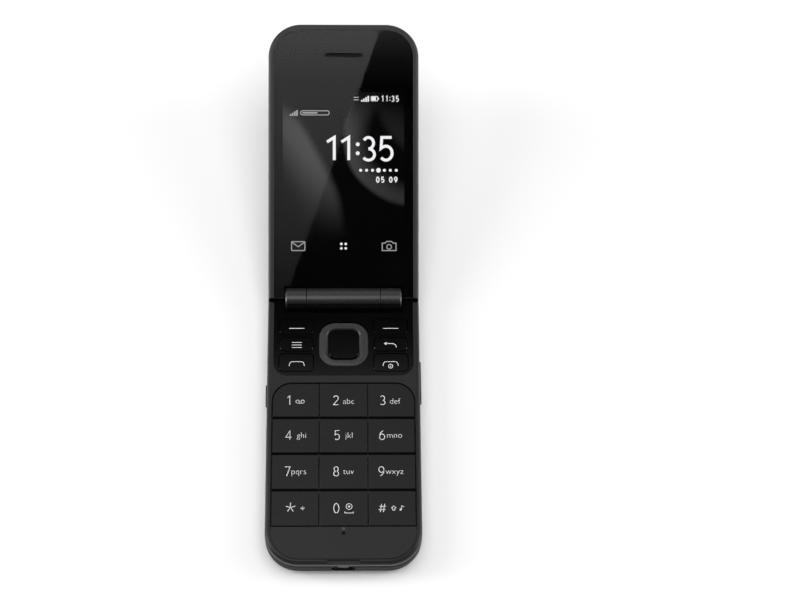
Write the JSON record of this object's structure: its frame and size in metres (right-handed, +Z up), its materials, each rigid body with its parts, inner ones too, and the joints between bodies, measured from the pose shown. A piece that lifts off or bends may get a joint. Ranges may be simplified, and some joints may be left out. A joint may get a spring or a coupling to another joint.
{
  "type": "flip phone",
  "caption": "Folding mobile phone with a hinged lid, inner and outer displays, number keypad, navigation ring and side keys.",
  "frame": {"origin": "centre of the base's flat resting face, the phone lying on its back", "axes": "+X right, +Y from the bottom end to the hinge, +Z up from the resting face; the lid is open by 155.5 degrees at rest"},
  "size_m": [0.0554, 0.193, 0.0526],
  "materials": {
    "rim_plastic": "fine satin black moulded plastic",
    "keypad_plastic": "matte black keycaps",
    "gloss_black": "piano black gloss",
    "rear_plastic": "fine textured black plastic",
    "seam_plastic": "dark inner plastic",
    "ring_metal": "satin dark metallic lacquer",
    "barrel_metal": "brushed dark metallic lacquer",
    "glass_black": "glossy cover glass, black printed behind",
    "display": "display panel",
    "rubber": "silicone rubber",
    "spring_steel": "stainless",
    "steel": "machined steel",
    "board": "green solder mask",
    "battery_wrap": "printed wrap, bare",
    "contact_plastic": "connector body",
    "lens_glass": "lens window",
    "flash_plastic": "diffuser"
  },
  "bodies": {
    "base": {"function_plate": "gloss_black", "base_front_housing": "rim_plastic", "keypad_mat": "rubber", "key_domes": "spring_steel", "main_board": "board", "board_shields": "steel", "base_rear_housing": "seam_plastic", "battery_cover": "rear_plastic", "battery": "battery_wrap", "battery_contacts": "contact_plastic", "usb_socket": "steel", "audio_jack": "contact_plastic", "loudspeaker": "contact_plastic", "microphone": "steel", "vibration_motor": "steel", "camera_module": "contact_plastic", "camera_lens": "lens_glass", "flash_lens": "flash_plastic", "sim_card_holder": "steel", "side_key_switches": "contact_plastic", "base_screws": "steel", "hinge_caps": "barrel_metal", "hinge_shaft": "steel", "hinge_flex_bush": "contact_plastic"},
    "lid": {"hinge_barrel": "barrel_metal", "hinge_cam_unit": "steel", "lid_inner_frame": "rim_plastic", "lid_inner_glass": "glass_black", "lid_outer_shell": "rear_plastic", "lid_outer_glass": "glass_black", "main_display": "display", "outer_display": "display", "lid_board": "board", "earpiece_speaker": "contact_plastic", "earpiece_mesh": "spring_steel", "lid_magnet": "steel"},
    "key_1": {"key_1": "keypad_plastic"},
    "key_2": {"key_2": "keypad_plastic"},
    "key_3": {"key_3": "keypad_plastic"},
    "key_4": {"key_4": "keypad_plastic"},
    "key_5": {"key_5": "keypad_plastic"},
    "key_6": {"key_6": "keypad_plastic"},
    "key_7": {"key_7": "keypad_plastic"},
    "key_8": {"key_8": "keypad_plastic"},
    "key_9": {"key_9": "keypad_plastic"},
    "key_star": {"key_star": "keypad_plastic"},
    "key_0": {"key_0": "keypad_plastic"},
    "key_hash": {"key_hash": "keypad_plastic"},
    "soft_key_left": {"soft_key_left": "gloss_black"},
    "soft_key_right": {"soft_key_right": "gloss_black"},
    "menu_key": {"menu_key": "gloss_black"},
    "back_key": {"back_key": "gloss_black"},
    "call_key": {"call_key": "gloss_black"},
    "end_key": {"end_key": "gloss_black"},
    "select_key": {"select_key": "gloss_black"},
    "nav_web": {"nav_web": "rubber"},
    "nav_ring": {"nav_ring": "ring_metal"},
    "volume_key": {"volume_key": "rim_plastic"},
    "emergency_key": {"emergency_key": "rim_plastic"}
  },
  "joints": [
    {"name": "lid_hinge", "type": "hinge", "parent": "base", "child": "lid", "pos_m": [0, 0.04873, 0.0117], "axis": [1, 0, 0], "range_deg": [0, 155.5]},
    {"name": "key_1_press", "type": "slide", "parent": "base", "child": "key_1", "axis": [0, 0, -1], "range_m": [0, 0.0003], "stiffness_N_per_m": 5000},
    {"name": "key_2_press", "type": "slide", "parent": "base", "child": "key_2", "axis": [0, 0, -1], "range_m": [0, 0.0003], "stiffness_N_per_m": 5000},
    {"name": "key_3_press", "type": "slide", "parent": "base", "child": "key_3", "axis": [0, 0, -1], "range_m": [0, 0.0003], "stiffness_N_per_m": 5000},
    {"name": "key_4_press", "type": "slide", "parent": "base", "child": "key_4", "axis": [0, 0, -1], "range_m": [0, 0.0003], "stiffness_N_per_m": 5000},
    {"name": "key_5_press", "type": "slide", "parent": "base", "child": "key_5", "axis": [0, 0, -1], "range_m": [0, 0.0003], "stiffness_N_per_m": 5000},
    {"name": "key_6_press", "type": "slide", "parent": "base", "child": "key_6", "axis": [0, 0, -1], "range_m": [0, 0.0003], "stiffness_N_per_m": 5000},
    {"name": "key_7_press", "type": "slide", "parent": "base", "child": "key_7", "axis": [0, 0, -1], "range_m": [0, 0.0003], "stiffness_N_per_m": 5000},
    {"name": "key_8_press", "type": "slide", "parent": "base", "child": "key_8", "axis": [0, 0, -1], "range_m": [0, 0.0003], "stiffness_N_per_m": 5000},
    {"name": "key_9_press", "type": "slide", "parent": "base", "child": "key_9", "axis": [0, 0, -1], "range_m": [0, 0.0003], "stiffness_N_per_m": 5000},
    {"name": "key_star_press", "type": "slide", "parent": "base", "child": "key_star", "axis": [0, 0, -1], "range_m": [0, 0.0003], "stiffness_N_per_m": 5000},
    {"name": "key_0_press", "type": "slide", "parent": "base", "child": "key_0", "axis": [0, 0, -1], "range_m": [0, 0.0003], "stiffness_N_per_m": 5000},
    {"name": "key_hash_press", "type": "slide", "parent": "base", "child": "key_hash", "axis": [0, 0, -1], "range_m": [0, 0.0003], "stiffness_N_per_m": 5000},
    {"name": "soft_key_left_press", "type": "slide", "parent": "base", "child": "soft_key_left", "axis": [0, 0, -1], "range_m": [0, 0.0003], "stiffness_N_per_m": 5000},
    {"name": "soft_key_right_press", "type": "slide", "parent": "base", "child": "soft_key_right", "axis": [0, 0, -1], "range_m": [0, 0.0003], "stiffness_N_per_m": 5000},
    {"name": "menu_key_press", "type": "slide", "parent": "base", "child": "menu_key", "axis": [0, 0, -1], "range_m": [0, 0.0003], "stiffness_N_per_m": 5000},
    {"name": "back_key_press", "type": "slide", "parent": "base", "child": "back_key", "axis": [0, 0, -1], "range_m": [0, 0.0003], "stiffness_N_per_m": 5000},
    {"name": "call_key_press", "type": "slide", "parent": "base", "child": "call_key", "axis": [0, 0, -1], "range_m": [0, 0.0003], "stiffness_N_per_m": 5000},
    {"name": "end_key_press", "type": "slide", "parent": "base", "child": "end_key", "axis": [0, 0, -1], "range_m": [0, 0.0003], "stiffness_N_per_m": 5000},
    {"name": "select_key_press", "type": "slide", "parent": "base", "child": "select_key", "axis": [0, 0, -1], "range_m": [0, 0.0003], "stiffness_N_per_m": 5000},
    {"name": "emergency_key_press", "type": "slide", "parent": "base", "child": "emergency_key", "axis": [1, 0, 0], "range_m": [0, 0.0003], "stiffness_N_per_m": 5000},
    {"name": "volume_rock", "type": "hinge", "parent": "base", "child": "volume_key", "pos_m": [0.0247, 0.01798, 0.0072], "axis": [0, 0, 1], "range_deg": [-2, 2], "stiffness_Nm_per_rad": 0.35},
    {"name": "nav_up_down", "type": "hinge", "parent": "base", "child": "nav_web", "pos_m": [0, 0.03143, 0.0095], "axis": [1, 0, 0], "range_deg": [-1.8, 1.8], "stiffness_Nm_per_rad": 0.35},
    {"name": "nav_left_right", "type": "hinge", "parent": "nav_web", "child": "nav_ring", "pos_m": [0, 0.03143, 0.01], "axis": [0, 1, 0], "range_deg": [-1.8, 1.8], "stiffness_Nm_per_rad": 0.35}
  ]
}
